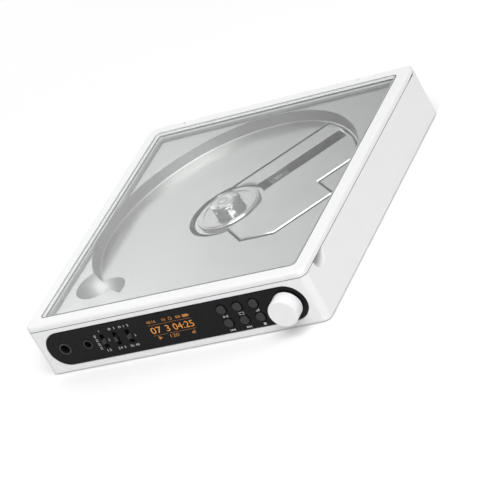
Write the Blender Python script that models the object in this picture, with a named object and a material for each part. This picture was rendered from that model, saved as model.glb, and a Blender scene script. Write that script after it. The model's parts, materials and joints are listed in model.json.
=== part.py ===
# Portable CD player with a clear hinged lid, a disc well with a round finger scoop,
# a slanted pickup mechanism and a gloss control panel on its front face.
# The origin is on the resting surface, at the centre of the box round the whole player.
# +X is the player's right, +Y its back and +Z up.

import math

import bmesh
import bpy
from mathutils import Matrix, Vector

mm = 0.001

# overall sizes: the disc well sets the width and depth of the body
well_top_radius = 68.2 * mm
side_margin = 6.8 * mm
end_margin = 10.8 * mm
body_width = 2 * (well_top_radius + side_margin)
body_depth = 2 * (well_top_radius + end_margin)
body_height = 27.0 * mm
corner_radius = 3.5 * mm
knob_reach = 7.5 * mm
foot_proud = 0.6 * mm

# clearances
rest_gap = 0.3 * mm
shaft_gap = 0.1 * mm
overrun = 1.0 * mm
weld = 0.2 * mm
sharp_turn = math.radians(40)

# lid
lid_thickness = 2.85 * mm
lid_edge_round = 1.4 * mm
lid_margin = 6.2 * mm
lid_opening_radius = 2.5 * mm
lip_width = 1.67 * mm
lip_thickness = 0.5 * mm
lip_radius = 1.4 * mm
window_sink = 0.05 * mm
hinge_centre = body_width / 2 - 25.0 * mm
knuckle_width = 8.0 * mm
knuckle_slack = 0.35 * mm
knuckle_neck = 2.75 * mm
pin_radius = 0.5 * mm
pin_length = 14.0 * mm

# shell
side_wall = 1.8 * mm
front_wall = 3.0 * mm
rim_thickness = 1.2 * mm
rim_width = 7.3 * mm
rim_radius = 1.6 * mm
base_edge_round = 0.4 * mm
cover_thickness = 1.8 * mm
notch_radius = 5.6 * mm
notch_depth = 2.8 * mm
notch_from_front = 15.6 * mm
notch_backing = 1.4 * mm
boss_radius = 2.4 * mm
boss_inset_x = 5.2 * mm
boss_inset_y = 6.0 * mm
pilot_radius = 0.95 * mm
pilot_depth = 9.0 * mm

# case screws and feet
screw_head_radius = 1.5 * mm
screw_head_height = 0.8 * mm
screw_shank_radius = 0.7 * mm
screw_length = 8.0 * mm
screw_sink = 0.15 * mm
drive_reach_share = 0.62
drive_width = 0.45 * mm
drive_depth = 0.4 * mm
foot_radius = 5.0 * mm
foot_inset = 16.0 * mm
foot_pocket = 0.5 * mm

# lid magnets
magnet_width = 8.0 * mm
magnet_depth = 2.6 * mm
magnet_height = 0.55 * mm
magnet_from_front = 3.4 * mm
magnet_slack = 0.1 * mm

# disc tray
deck_drop = 0.95 * mm
deck_margin = 7.6 * mm
deck_radius = 1.2 * mm
flange_margin = 5.1 * mm
flange_thickness = 1.7 * mm
well_depth = 5.4 * mm
well_draft = 1.4 * mm
well_floor_radius = well_top_radius - well_draft
well_wall = 1.4 * mm
well_fillet = 0.9 * mm
tray_floor = 1.5 * mm
scoop_reach = well_top_radius - 0.2 * mm
scoop_radius = 12.3 * mm
scoop_lift = 1.7 * mm
scoop_wall = 1.3 * mm
collar_width = 1.2 * mm
collar_depth = 1.2 * mm

# mechanism cover, in the mechanism's own frame: u runs outward along the sled, v across it
cover_lift = 0.75 * mm
plate_thickness = 1.2 * mm
plate_bevel = 0.5 * mm
opening_outer_radius = well_floor_radius - 0.9 * mm
plate_outer_radius = opening_outer_radius - 0.6 * mm
plate_far_edge = 15.1 * mm
plate_near_share = 0.7167
plate_step_share = 0.4395
plate_back_share = 0.5605
plate_near_edge = plate_outer_radius * plate_near_share
plate_step_edge = plate_outer_radius * plate_step_share
plate_step_back = plate_outer_radius * plate_back_share
plate_front_edge = 29.65 * mm
plate_side_edge = 7.7 * mm
plate_hub_radius = 18.2 * mm
opening_grow = 0.9 * mm
opening_far_edge = 18.3 * mm
opening_hub_radius = 20.4 * mm
slot_centre = -1.2 * mm
slot_width = 9.6 * mm
slot_end = plate_outer_radius - 1.1 * mm
skirt_wall = 1.0 * mm
skirt_start = 19.4 * mm
skirt_height = 5.25 * mm
skirt_end_drop = 1.8 * mm

# mechanism chassis
chassis_base = 6.4 * mm
chassis_thickness = 1.2 * mm
chassis_shrink = 1.2 * mm
post_radius = 1.5 * mm
post_far_line = 12.6 * mm
post_near_line = plate_near_edge - 6.8 * mm
post_inner_reach = 26.0 * mm
post_outer_reach = plate_outer_radius - 7.3 * mm
post_near_inner_reach = 6.0 * mm
post_near_outer_reach = plate_step_back - 5.6 * mm
rod_radius = 1.0 * mm
rod_height = 11.3 * mm
rod_far_line = 8.2 * mm
rod_near_line = 10.4 * mm
rod_block_inner = 13.2 * mm
rod_block_outer = slot_end + 1.2 * mm
rod_block_thickness = 2.4 * mm
rod_block_top = 13.0 * mm
rod_block_edge = 2.4 * mm
rod_stub = 1.8 * mm
damper_radius = 3.4 * mm
damper_bore = 1.35 * mm
damper_height = 2.1 * mm
damper_pin_radius = 1.1 * mm
damper_pin_length = 1.6 * mm
damper_back_reach = 12.6 * mm
damper_near_reach = post_near_outer_reach - 12.4 * mm
damper_near_line = post_near_line - 2.8 * mm
damper_band_share = 1 / 3

# spindle and turntable
motor_radius = 9.0 * mm
motor_height = 6.1 * mm
motor_bore_depth = 5.2 * mm
spindle_radius = 0.75 * mm
spindle_depth = 4.6 * mm
turntable_radius = 15.9 * mm
turntable_bevel = 0.35 * mm
turntable_flange_radius = 18.0 * mm
turntable_flange_height = 2.3 * mm
disc_ring_inner = 12.6 * mm
disc_ring_outer = 14.8 * mm
disc_ring_height = 0.35 * mm
hub_radius = 7.1 * mm
hub_height = 3.3 * mm
hub_cone_radius = 5.4 * mm
hub_cone_height = 1.0 * mm
ball_radius = 0.9 * mm
ball_lift = 2.2 * mm
ball_proud = 0.45 * mm
ball_travel = 0.5 * mm
ball_shank = 2.3 * mm
ball_first_turn = math.radians(30)

# pickup sled and its drive
lens_reach = 27.4 * mm
sled_head_inner = 4.6 * mm
sled_head_outer = 5.2 * mm
sled_head_slack = 0.45 * mm
sled_head_drop = 1.65 * mm
sled_block_height = 3.8 * mm
sled_block_edge = 2.2 * mm
lens_radius = 2.0 * mm
lens_rise = 0.7 * mm
lens_height = 1.9 * mm
lens_slack = 0.5 * mm
lens_travel = 0.3 * mm
lens_rim_share = 0.8
lens_crown_share = 0.5
screw_line = 15.0 * mm
lead_radius = 1.2 * mm
nut_edge = 2.2 * mm
sled_motor_radius = 3.3 * mm
sled_motor_length = 10.5 * mm

# front panel
panel_length = body_width - 11.5 * mm
panel_height = 18.05 * mm
panel_rise = 12.42 * mm
panel_thickness = 1.2 * mm
panel_ledge = 1.7 * mm
knob_x = body_width / 2 - 14.75 * mm
button_radius = 2.35 * mm
button_proud = 0.7 * mm
button_flange_radius = 3.1 * mm
button_flange_thickness = 0.8 * mm
button_stem_radius = 1.2 * mm
button_stem_length = 3.2 * mm
button_edge_round = 0.25 * mm
button_first = knob_x - 32.65 * mm
button_pitch = 8.35 * mm
button_row_top = 16.36 * mm
button_row_pitch = 7.4 * mm
switch_first = 37.0 * mm - body_width / 2
switch_pitch_share = 0.04667
switch_pitch = body_width * switch_pitch_share
switch_rise = 12.45 * mm
switch_slot_width = 2.2 * mm
switch_slot_height = 7.1 * mm
slider_width = 1.6 * mm
slider_height = 2.2 * mm
slider_proud = 0.9 * mm
slider_travel = 1.75 * mm
slider_plate_width = 3.4 * mm
slider_plate_height = 7.0 * mm
slider_plate_thickness = 0.7 * mm
slider_stem = 1.3 * mm
slider_stem_length = 2.2 * mm
switch_body_width = 5.2 * mm
switch_body_height = 13.0 * mm
switch_groove_depth = 2.2 * mm
jack_rise = 12.2 * mm
large_jack_x = 14.85 * mm - body_width / 2
large_jack_bore = 2.3 * mm
large_jack_nose = 3.2 * mm
large_jack_size = 9.6 * mm
small_jack_x = 27.7 * mm - body_width / 2
small_jack_bore = 1.85 * mm
small_jack_nose = 2.5 * mm
small_jack_size = 8.2 * mm
jack_length = 12.6 * mm
jack_bore_depth = 12.0 * mm
jack_pad_share = 1 / 3
display_x = -0.2 * mm
display_width_share = 0.18333
display_width = body_width * display_width_share
display_height = 13.6 * mm
display_thickness = 2.2 * mm

# volume knob
knob_radius = 6.85 * mm
knob_gap = 0.8 * mm
knob_edge_round = 0.6 * mm
knob_hollow_radius = 6.1 * mm
knob_hollow_depth = 2.2 * mm
knob_bore_end = 0.9 * mm
bush_radius = 3.4 * mm
bush_proud = 2.2 * mm
nut_width = 10.0 * mm
nut_thickness = 1.5 * mm
volume_shaft_radius = 1.6 * mm
encoder_radius = 6.6 * mm
encoder_bore_depth = 3.0 * mm

# boards, battery and charging socket
board_thickness = 1.2 * mm
front_board_back = 8.7 * mm
front_board_left = small_jack_x + 5.3 * mm
front_board_right = body_width / 2 - 8.0 * mm
front_board_base = 3.0 * mm
front_board_top = 20.4 * mm
press_switch_size = 3.6 * mm
press_switch_height = 1.4 * mm
main_board_base = 3.4 * mm
main_board_left = 9.0 * mm - body_width / 2
main_board_width = 46.0 * mm
main_board_front = body_depth / 2 - 48.0 * mm
main_board_depth = 45.0 * mm
chip_height = 1.3 * mm
chip_shares = ((0.16, 0.2, 0.24), (0.52, 0.16, 0.3), (0.6, 0.56, 0.16), (0.14, 0.56, 0.14))
socket_x = 32.0 * mm - body_width / 2
socket_width = 8.9 * mm
socket_height = 3.2 * mm
socket_length = 7.3 * mm
socket_wall = 0.4 * mm
socket_tongue_width = 6.6 * mm
socket_tongue_height = 0.7 * mm
socket_tongue_length = 5.4 * mm
battery_left = 9.0 * mm - body_width / 2
battery_width_share = 0.24
battery_width = body_width * battery_width_share
battery_front = 49.0 * mm - body_depth / 2
battery_depth = main_board_front - battery_front - 5.0 * mm
battery_height = 7.4 * mm
battery_radius = 2.4 * mm
ribbon_x = battery_left + battery_width + 7.0 * mm
ribbon_width = 9.0 * mm
ribbon_thickness = 0.3 * mm
ribbon_overlap = 4.0 * mm
ribbon_rise = 9.0 * mm
standoff_radius = 2.0 * mm

# levels and places that follow from the sizes above
front_y = (knob_reach - body_depth) / 2
back_y = front_y + body_depth
middle_y = front_y + body_depth / 2
base_z = foot_proud
top_z = base_z + body_height
lid_z = top_z - lid_thickness
shell_z = lid_z - rest_gap
rim_z = shell_z - rim_thickness
cover_z = base_z + cover_thickness
deck_z = shell_z - deck_drop
flange_z = rim_z - rest_gap
well_z = deck_z - well_depth
plate_z = well_z + cover_lift
plate_base_z = plate_z - plate_thickness
skirt_z = plate_z - skirt_height
collar_z = well_z - tray_floor - collar_depth
chassis_z = chassis_base + chassis_thickness
turntable_z = plate_z
sled_head_z = plate_z - sled_head_drop
sled_block_base = rod_height - sled_block_height / 2
hinge_y = back_y - lid_thickness / 2
hinge_z = lid_z + lid_thickness / 2
panel_back_y = front_y + panel_thickness
pocket_back_y = panel_back_y + rest_gap
front_board_y = front_y + front_board_back - board_thickness
panel_middle_z = base_z + panel_rise
circle_steps = 88
round_steps = 28
small_steps = 16
fine_steps = 44
fillet_steps = 3

sides = (-1, 1)


def clear_scene():
    for item in list(bpy.data.objects):
        bpy.data.objects.remove(item, do_unlink=True)


def finish(name, colour, roughness, metallic=0.0, alpha=1.0):
    material = bpy.data.materials.new(name)
    material.use_nodes = True
    shader = material.node_tree.nodes["Principled BSDF"]
    shader.inputs["Base Color"].default_value = (*colour, 1.0)
    shader.inputs["Roughness"].default_value = roughness
    shader.inputs["Metallic"].default_value = metallic
    shader.inputs["Alpha"].default_value = alpha
    return material


def arc(centre, radius, start, end, steps):
    angles = [start + (end - start) * i / steps for i in range(steps + 1)]
    return [(centre[0] + radius * math.cos(a), centre[1] + radius * math.sin(a)) for a in angles]


def circle(radius, centre=(0, 0), steps=round_steps):
    return arc(centre, radius, 0, 2 * math.pi, steps)[:-1]


def rounded_rectangle(left, right, low, high, radius, steps=6):
    corners = ((right - radius, high - radius), (left + radius, high - radius),
               (left + radius, low + radius), (right - radius, low + radius))
    points = []
    for i, corner in enumerate(corners):
        points += arc(corner, radius, i * math.pi / 2, (i + 1) * math.pi / 2, steps)
    return points


def rectangle(left, right, low, high):
    return [(left, low), (right, low), (right, high), (left, high)]


def pill(length, height, centre=(0, 0), steps=18):
    """A straight band with a half circle at each end, its long way along the first axis."""
    radius = height / 2
    reach = length / 2 - radius
    right = arc((centre[0] + reach, centre[1]), radius, -math.pi / 2, math.pi / 2, steps)
    left = arc((centre[0] - reach, centre[1]), radius, math.pi / 2, 3 * math.pi / 2, steps)
    return right + left


def add_mesh(name, form, material=None, parent=None, smooth=True):
    bmesh.ops.recalc_face_normals(form, faces=form.faces)
    mesh = bpy.data.meshes.new(name)
    form.to_mesh(mesh)
    form.free()
    item = bpy.data.objects.new(name, mesh)
    bpy.context.collection.objects.link(item)
    if material:
        mesh.materials.append(material)
    if smooth:
        mesh.shade_smooth()
        mesh.set_sharp_from_angle(angle=math.radians(32))
    item.parent = parent
    return item


def extrusion(outline, low, high, along="Z"):
    """A closed prism: its outline lies across the named axis and runs from low to high on it."""
    place = {
        "X": lambda p, h: (h, p[0], p[1]),
        "Y": lambda p, h: (p[0], h, p[1]),
        "Z": lambda p, h: (p[0], p[1], h),
    }[along]
    form = bmesh.new()
    rings = [[form.verts.new(place(p, h)) for p in outline] for h in (low, high)]
    for i in range(len(outline)):
        j = (i + 1) % len(outline)
        form.faces.new((rings[0][i], rings[0][j], rings[1][j], rings[1][i]))
    for ring in rings:
        form.faces.new(ring)
    bmesh.ops.recalc_face_normals(form, faces=form.faces)
    return form


def prism(name, outline, low, high, along="Z", material=None, parent=None):
    return add_mesh(name, extrusion(outline, low, high, along), material, parent)


def lathe(profile, steps=round_steps):
    """A solid turned about Z from (radius, height) points; a radius of zero lies on the axis."""
    form = bmesh.new()
    rings = []
    for radius, height in profile:
        if radius == 0:
            rings.append([form.verts.new((0, 0, height))])
        else:
            rings.append([form.verts.new((x, y, height)) for x, y in circle(radius, steps=steps)])
    for first, second in zip(rings, rings[1:] + rings[:1]):
        if len(first) == 1 and len(second) == 1:
            continue
        for i in range(steps):
            j = (i + 1) % steps
            corners = [first[i % len(first)], first[j % len(first)],
                       second[j % len(second)], second[i % len(second)]]
            form.faces.new(list(dict.fromkeys(corners)))
    bmesh.ops.recalc_face_normals(form, faces=form.faces)
    return form


def turned(name, profile, location=(0, 0, 0), axis="Z", material=None, parent=None, steps=round_steps):
    """A turned piece whose own Z axis points along the named axis from its location."""
    item = add_mesh(name, lathe(profile, steps), material, parent)
    item.location = location
    turn = {"Z": (0, 0, 0), "X": (0, math.pi / 2, 0), "-Y": (math.pi / 2, 0, 0), "Y": (-math.pi / 2, 0, 0)}
    item.rotation_euler = turn[axis]
    return item


def rod(name, radius, start, length, axis="Z", material=None, parent=None, steps=round_steps):
    profile = [(0, 0), (radius, 0), (radius, length), (0, length)]
    return turned(name, profile, start, axis, material, parent, steps)


def block(name, low, high, material=None, parent=None):
    outline = rectangle(low[0], high[0], low[1], high[1])
    return add_mesh(name, extrusion(outline, low[2], high[2]), material, parent, smooth=False)


def shape_with(piece, tool, operation):
    tool.hide_render = True
    tool.display_type = "WIRE"
    change = piece.modifiers.new(tool.name, "BOOLEAN")
    change.operation = operation
    change.solver = "EXACT"
    change.object = tool


def cut(piece, *tools):
    for tool in tools:
        shape_with(piece, tool, "DIFFERENCE")


def weld_on(piece, *tools):
    for tool in tools:
        shape_with(piece, tool, "UNION")


def move_origin(piece, point):
    piece.data.transform(Matrix.Translation(-Vector(point)))
    piece.location = point


def round_loop(form, test, radius, steps=4):
    """Rounds the edges whose two ends both pass the test."""
    edges = [e for e in form.edges if all(test(v.co) for v in e.verts)
             and e.calc_face_angle(0) > sharp_turn]
    bmesh.ops.bevel(form, geom=edges, offset=radius, segments=steps, profile=0.5, affect="EDGES")


def body_outline(margin=0, radius=corner_radius, front_margin=None, back_margin=None):
    front = margin if front_margin is None else front_margin
    back = margin if back_margin is None else back_margin
    return rounded_rectangle(margin - body_width / 2, body_width / 2 - margin,
                             front_y + front, back_y - back, radius)


def boss_places():
    for side in sides:
        for y in (front_y + boss_inset_y, back_y - boss_inset_y):
            yield side * (body_width / 2 - boss_inset_x), y


def plate_outline(grow, far_edge, outer_radius, inner_radius, steps=24):
    """The mechanism cover seen from above: an arc along the well, a stepped near side and
    a bay that goes round the turntable."""
    near_edge = plate_near_edge + grow
    step_edge = plate_step_edge + grow
    step_back = plate_step_back + grow
    side_edge = plate_side_edge + grow
    front_line = (plate_front_edge + grow) * math.sqrt(2)
    points = arc((0, 0), outer_radius, math.asin(far_edge / outer_radius),
                 -math.asin(step_edge / outer_radius), steps)
    points += [(step_back, -step_edge), (step_back, -near_edge)]
    points += [(near_edge - front_line, -near_edge), (-side_edge, side_edge - front_line)]
    points += arc((0, 0), inner_radius, -math.pi + math.acos(side_edge / inner_radius),
                  math.asin(far_edge / inner_radius), steps)
    return points


def make_shell(white):
    form = extrusion(body_outline(), base_z, shell_z)
    round_loop(form, lambda p: p.z < base_z + overrun, base_edge_round, 3)
    shell = add_mesh("body_shell", form, white)
    cavity = prism("shell_cavity", body_outline(side_wall, corner_radius - side_wall, front_wall),
                   base_z - overrun, rim_z)
    mouth = prism("rim_mouth", body_outline(rim_width, rim_radius), rim_z - overrun, shell_z + overrun)
    cut(shell, cavity, mouth)
    pocket = prism("panel_pocket", pill(panel_length + 2 * rest_gap, panel_height + 2 * rest_gap,
                                        (0, panel_middle_z)), front_y - overrun, pocket_back_y, "Y")
    window = prism("panel_window", pill(panel_length - 2 * panel_ledge, panel_height - 2 * panel_ledge,
                                        (0, panel_middle_z)), front_y, front_y + front_wall + overrun, "Y")
    cut(shell, pocket, window)
    make_notch(shell)
    make_bosses(shell)
    make_knuckles(shell)
    socket_hole = prism("socket_hole", pill(socket_width + 2 * rest_gap, socket_height + 2 * rest_gap,
                                            (socket_x, socket_middle_z())),
                        back_y - side_wall - overrun, back_y + overrun, "Y")
    cut(shell, socket_hole)
    seat = magnet_seat("shell_magnet_seat", shell_z - magnet_height - magnet_slack, shell_z + overrun)
    cut(shell, seat)
    return shell


def make_notch(shell):
    side = body_width / 2
    ball_radius_here = (notch_radius ** 2 + notch_depth ** 2) / (2 * notch_depth)
    notch_y = front_y + notch_from_front
    backing = block("notch_backing",
                    (side - notch_depth - notch_backing, notch_y - notch_radius - notch_backing,
                     shell_z - notch_radius - notch_backing),
                    (side - side_wall + weld, notch_y + notch_radius + notch_backing, rim_z + weld))
    weld_on(shell, backing)
    form = bmesh.new()
    bmesh.ops.create_uvsphere(form, u_segments=40, v_segments=20, radius=ball_radius_here)
    scoop = add_mesh("notch_scoop", form)
    scoop.location = (side + ball_radius_here - notch_depth, notch_y, shell_z)
    cut(shell, scoop)


def make_bosses(shell):
    for i, (x, y) in enumerate(boss_places()):
        low = cover_z + rest_gap
        boss = prism(f"boss_{i}", circle(boss_radius, (x, y)), low, rim_z + weld)
        pilot = prism(f"pilot_{i}", circle(pilot_radius, (x, y), small_steps),
                      low - overrun, low + pilot_depth)
        weld_on(shell, boss)
        cut(shell, pilot)


def make_knuckles(shell):
    radius = lid_thickness / 2 - weld / 4
    for side in sides:
        left = side * hinge_centre - knuckle_width / 2
        right = left + knuckle_width
        round_part = circle(radius, (hinge_y, hinge_z))
        knuckle = prism(f"knuckle_{side}", round_part, left, right, "X")
        neck = block(f"knuckle_neck_{side}", (left, back_y - knuckle_neck, shell_z - weld),
                     (right, hinge_y + radius - weld, hinge_z - weld))
        bore = prism(f"knuckle_bore_{side}", circle(pin_radius + shaft_gap, (hinge_y, hinge_z), small_steps),
                     left - overrun, right + overrun, "X")
        weld_on(shell, neck, knuckle)
        cut(shell, bore)


def magnet_seat(name, low, high):
    y = front_y + magnet_from_front
    reach = magnet_width / 2 + magnet_slack
    depth = magnet_depth / 2 + magnet_slack
    return prism(name, rectangle(-reach, reach, y - depth, y + depth), low, high)


def make_magnets(steel):
    y = front_y + magnet_from_front
    low = (-magnet_width / 2, y - magnet_depth / 2)
    high = (magnet_width / 2, y + magnet_depth / 2)
    block("shell_magnet", (*low, shell_z - magnet_height), (*high, shell_z), steel)
    block("lid_magnet", (*low, lid_z), (*high, lid_z + magnet_height), steel)


def make_lid(white, clear):
    form = extrusion(body_outline(), lid_z, top_z)
    round_loop(form, lambda p: p.z > top_z - overrun, lid_edge_round, 5)
    round_loop(form, lambda p: p.z < lid_z + weld and p.y > back_y - corner_radius - weld, lid_edge_round, 5)
    lid = add_mesh("lid_frame", form, white)
    opening = prism("lid_opening", body_outline(lid_margin, lid_opening_radius),
                    lid_z + lip_thickness, top_z + overrun)
    lip_margin = lid_margin + lip_width
    through = prism("lip_opening", body_outline(lip_margin, lip_radius), lid_z - overrun, top_z)
    cut(lid, opening, through)
    for side in sides:
        left = side * hinge_centre - knuckle_width / 2 - knuckle_slack
        right = left + knuckle_width + 2 * knuckle_slack
        relief_front = back_y - knuckle_neck - knuckle_slack
        relief = block(f"knuckle_relief_{side}", (left, relief_front, lid_z - overrun),
                       (right, back_y + overrun, top_z + overrun))
        bore_reach = pin_length / 2 + knuckle_slack
        bore = prism(f"lid_bore_{side}", circle(pin_radius + shaft_gap, (hinge_y, hinge_z), small_steps),
                     side * hinge_centre - bore_reach, side * hinge_centre + bore_reach, "X")
        cut(lid, relief, bore)
    cut(lid, magnet_seat("lid_magnet_seat", lid_z - overrun, lid_z + magnet_height + magnet_slack))
    move_origin(lid, (0, hinge_y, hinge_z))
    pane_margin = lid_margin + rest_gap
    pane = prism("lid_window", body_outline(pane_margin, lid_opening_radius - rest_gap),
                 lid_z + lip_thickness + rest_gap, top_z - window_sink, material=clear)
    move_origin(pane, (0, hinge_y, hinge_z))


def make_pins(steel):
    for side, name in zip(sides, ("left", "right")):
        rod(f"hinge_pin_{name}", pin_radius, (side * hinge_centre - pin_length / 2, hinge_y, hinge_z),
            pin_length, "X", steel, steps=small_steps)


def foot_places():
    for side in sides:
        for y in (front_y + foot_inset, back_y - foot_inset):
            yield side * (body_width / 2 - foot_inset), y


def make_bottom(white, rubber, steel):
    margin = side_wall + rest_gap
    cover = prism("bottom_cover", body_outline(margin, corner_radius - margin, front_wall + rest_gap),
                  base_z, cover_z, material=white)
    head_room = screw_head_radius + rest_gap
    seat_z = base_z + screw_sink + screw_head_height + rest_gap
    corners = ("front_left", "back_left", "front_right", "back_right")
    for i, ((x, y), corner) in enumerate(zip(boss_places(), corners)):
        sink = prism(f"screw_sink_{i}", circle(head_room, (x, y)), base_z - overrun, seat_z)
        hole = prism(f"screw_hole_{i}", circle(screw_shank_radius + rest_gap, (x, y), small_steps),
                     base_z, cover_z + overrun)
        cut(cover, sink, hole)
        make_screw(f"case_screw_{corner}", (x, y, base_z + screw_sink), steel)
    for i, ((x, y), corner) in enumerate(zip(foot_places(), corners)):
        pocket = prism(f"foot_pocket_{i}", circle(foot_radius + rest_gap, (x, y)),
                       base_z - overrun, base_z + foot_pocket)
        cut(cover, pocket)
        bevel = rest_gap
        profile = [(0, 0), (foot_radius - bevel, 0), (foot_radius, bevel),
                   (foot_radius, base_z + foot_pocket - rest_gap), (0, base_z + foot_pocket - rest_gap)]
        turned(f"foot_{corner}", profile, (x, y, 0), "Z", rubber)
    weld_on(cover, *cover_supports())
    return cover


def cover_supports():
    """Pads and posts that stand on the bottom cover and carry what lies above them."""
    low = cover_z - weld
    tools = []
    for side, x, size in ((0, large_jack_x, large_jack_size), (1, small_jack_x, small_jack_size)):
        top = base_z + jack_rise - size / 2 - rest_gap
        reach = size * jack_pad_share
        tools.append(block(f"jack_pad_{side}", (x - reach, pocket_back_y + front_wall, low),
                           (x + reach, pocket_back_y + jack_length - front_wall / 2, top)))
    for i, (x, y) in enumerate(board_posts()):
        tools.append(prism(f"board_post_{i}", circle(standoff_radius, (x, y), small_steps),
                           low, main_board_base - rest_gap))
    frame = bpy.data.objects["mechanism"]
    damper_base = chassis_base - rest_gap - damper_height
    for i, (u, v) in enumerate(damper_places()):
        tools.append(prism(f"damper_post_{i}", circle(damper_radius, (u, v), small_steps),
                           low, damper_base - rest_gap, parent=frame))
    return tools


def board_posts():
    inset = standoff_radius * 2
    for x in (main_board_left + inset, main_board_left + main_board_width - inset):
        for y in (main_board_front + inset, main_board_front + main_board_depth - inset):
            yield x, middle_y + y


def make_screw(name, place, steel):
    head = screw_head_height
    profile = [(0, 0), (screw_head_radius, 0), (screw_head_radius, head),
               (screw_shank_radius, head), (screw_shank_radius, screw_length), (0, screw_length)]
    screw = turned(name, profile, place, "Z", steel, steps=small_steps)
    reach = screw_head_radius * drive_reach_share
    for i, (across, along) in enumerate(((drive_width, reach * 2), (reach * 2, drive_width))):
        tool = block(f"{name}_drive_{i}", (place[0] - across / 2, place[1] - along / 2, place[2] - overrun),
                     (place[0] + across / 2, place[1] + along / 2, place[2] + drive_depth))
        cut(screw, tool)


def make_tray(silver, frame):
    flange = extrusion(body_outline(flange_margin, deck_radius), flange_z - flange_thickness, flange_z)
    tray = add_mesh("disc_tray", flange, silver)
    pad = prism("deck_pad", body_outline(deck_margin, deck_radius), flange_z - flange_thickness / 2, deck_z)
    bowl_top = flange_z - flange_thickness / 2
    bowl = prism("well_bowl", circle(well_top_radius + well_wall, (0, middle_y), circle_steps),
                 well_z - tray_floor, bowl_top)
    scoop_x = -scoop_reach / math.sqrt(2)
    scoop_y = middle_y + scoop_x
    scoop_z = deck_z + scoop_lift
    cup = prism("scoop_cup", circle(scoop_radius + scoop_wall, (scoop_x, scoop_y), fine_steps),
                scoop_z - scoop_radius - scoop_wall, bowl_top)
    weld_on(tray, pad, bowl, cup)
    slope = (well_top_radius - well_floor_radius) / well_depth
    high = deck_z + overrun
    lean = math.atan(slope)
    tangent = well_fillet * math.tan((math.pi / 2 - lean) / 2)
    fillet = arc((well_floor_radius - tangent, well_z + well_fillet), well_fillet,
                 -math.pi / 2, -lean, fillet_steps)
    well = turned("well_space", [(0, well_z)] + fillet + [(well_top_radius + slope * overrun, high),
                                                          (0, high)],
                  (0, middle_y, 0), steps=circle_steps)
    form = bmesh.new()
    bmesh.ops.create_uvsphere(form, u_segments=44, v_segments=26, radius=scoop_radius)
    scoop = add_mesh("scoop_space", form)
    scoop.location = (scoop_x, scoop_y, scoop_z)
    cut(tray, well, scoop)
    collar = prism("hub_collar", circle(opening_hub_radius + collar_width, steps=fine_steps),
                   collar_z, well_z - weld, parent=frame)
    weld_on(tray, collar)
    hub_hole = prism("hub_opening", circle(opening_hub_radius, steps=fine_steps),
                     collar_z - overrun, well_z + overrun, parent=frame)
    mouth = prism("mechanism_opening",
                  plate_outline(opening_grow, opening_far_edge, opening_outer_radius,
                                opening_hub_radius - overrun),
                  collar_z - overrun, well_z + overrun / 2, parent=frame)
    cut(tray, hub_hole, mouth)
    for i, (x, y) in enumerate(boss_places()):
        cut(tray, prism(f"boss_relief_{i}", circle(boss_radius + rest_gap, (x, y)),
                        flange_z - flange_thickness - overrun, deck_z + overrun))
    return tray


def make_plate(silver, frame):
    form = extrusion(plate_outline(0, plate_far_edge, plate_outer_radius, plate_hub_radius),
                     plate_base_z, plate_z)
    bmesh.ops.recalc_face_normals(form, faces=form.faces)
    rim = [e for e in form.edges if all(v.co.z > plate_z - weld for v in e.verts)]
    bmesh.ops.bevel(form, geom=rim, offset=plate_bevel, segments=1, affect="EDGES")
    plate = add_mesh("mechanism_cover", form, silver, frame)
    low = slot_centre - slot_width / 2
    high = slot_centre + slot_width / 2
    channel_top = plate_base_z + plate_thickness / 2
    channel = block("slot_channel", (skirt_start, low - skirt_wall, skirt_z),
                    (slot_end + skirt_wall, high + skirt_wall, channel_top), parent=frame)
    weld_on(plate, channel)
    slot = block("pickup_slot", (plate_hub_radius / 2, low, skirt_z - overrun),
                 (slot_end, high, plate_z + overrun), parent=frame)
    outlet = block("slot_outlet", (slot_end - overrun, low, plate_z - skirt_end_drop),
                   (plate_outer_radius + overrun, high, plate_z + overrun), parent=frame)
    cut(plate, slot, outlet)
    return plate


def damper_places():
    return (-damper_back_reach, 0), (damper_near_reach, -damper_near_line), (post_outer_reach, 0)


def make_chassis(dark, rubber, frame):
    form = extrusion(plate_outline(-chassis_shrink, plate_far_edge - chassis_shrink,
                                   plate_outer_radius - chassis_shrink, plate_hub_radius),
                     chassis_base, chassis_z)
    chassis = add_mesh("mechanism_chassis", form, dark, frame)
    hub = prism("chassis_hub", circle(plate_hub_radius + weld, steps=fine_steps),
                chassis_base, chassis_z, parent=frame)
    weld_on(chassis, hub)
    low = chassis_z - weld
    post_top = plate_base_z - rest_gap
    places = ((post_inner_reach, post_far_line), (post_outer_reach, post_far_line),
              (post_near_inner_reach, -post_near_line), (post_near_outer_reach, -post_near_line))
    for i, place in enumerate(places):
        weld_on(chassis, prism(f"plate_post_{i}", circle(post_radius, place, small_steps), low, post_top,
                               parent=frame))
    for i, start in enumerate((rod_block_inner, rod_block_outer - rod_block_thickness)):
        end = start + rod_block_thickness
        holder = block(f"rod_holder_{i}", (start, -screw_line - rod_block_edge, low),
                       (end, rod_far_line + rod_block_edge, rod_block_top), parent=frame)
        weld_on(chassis, holder)
    for name, line, radius in rod_lines():
        start = rod_block_inner - overrun
        bore = rod(f"{name}_bore", radius + shaft_gap, (start, line, rod_height),
                   rod_block_outer - rod_block_inner + 2 * overrun, "X", parent=frame, steps=small_steps)
        cut(chassis, bore)
    for i, place in enumerate(damper_places()):
        weld_on(chassis, prism(f"damper_pin_{i}", circle(damper_pin_radius, place, small_steps),
                               chassis_base - damper_pin_length, chassis_base + weld, parent=frame))
        make_damper(f"damper_{i + 1}", place, rubber, frame)
    return chassis


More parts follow.
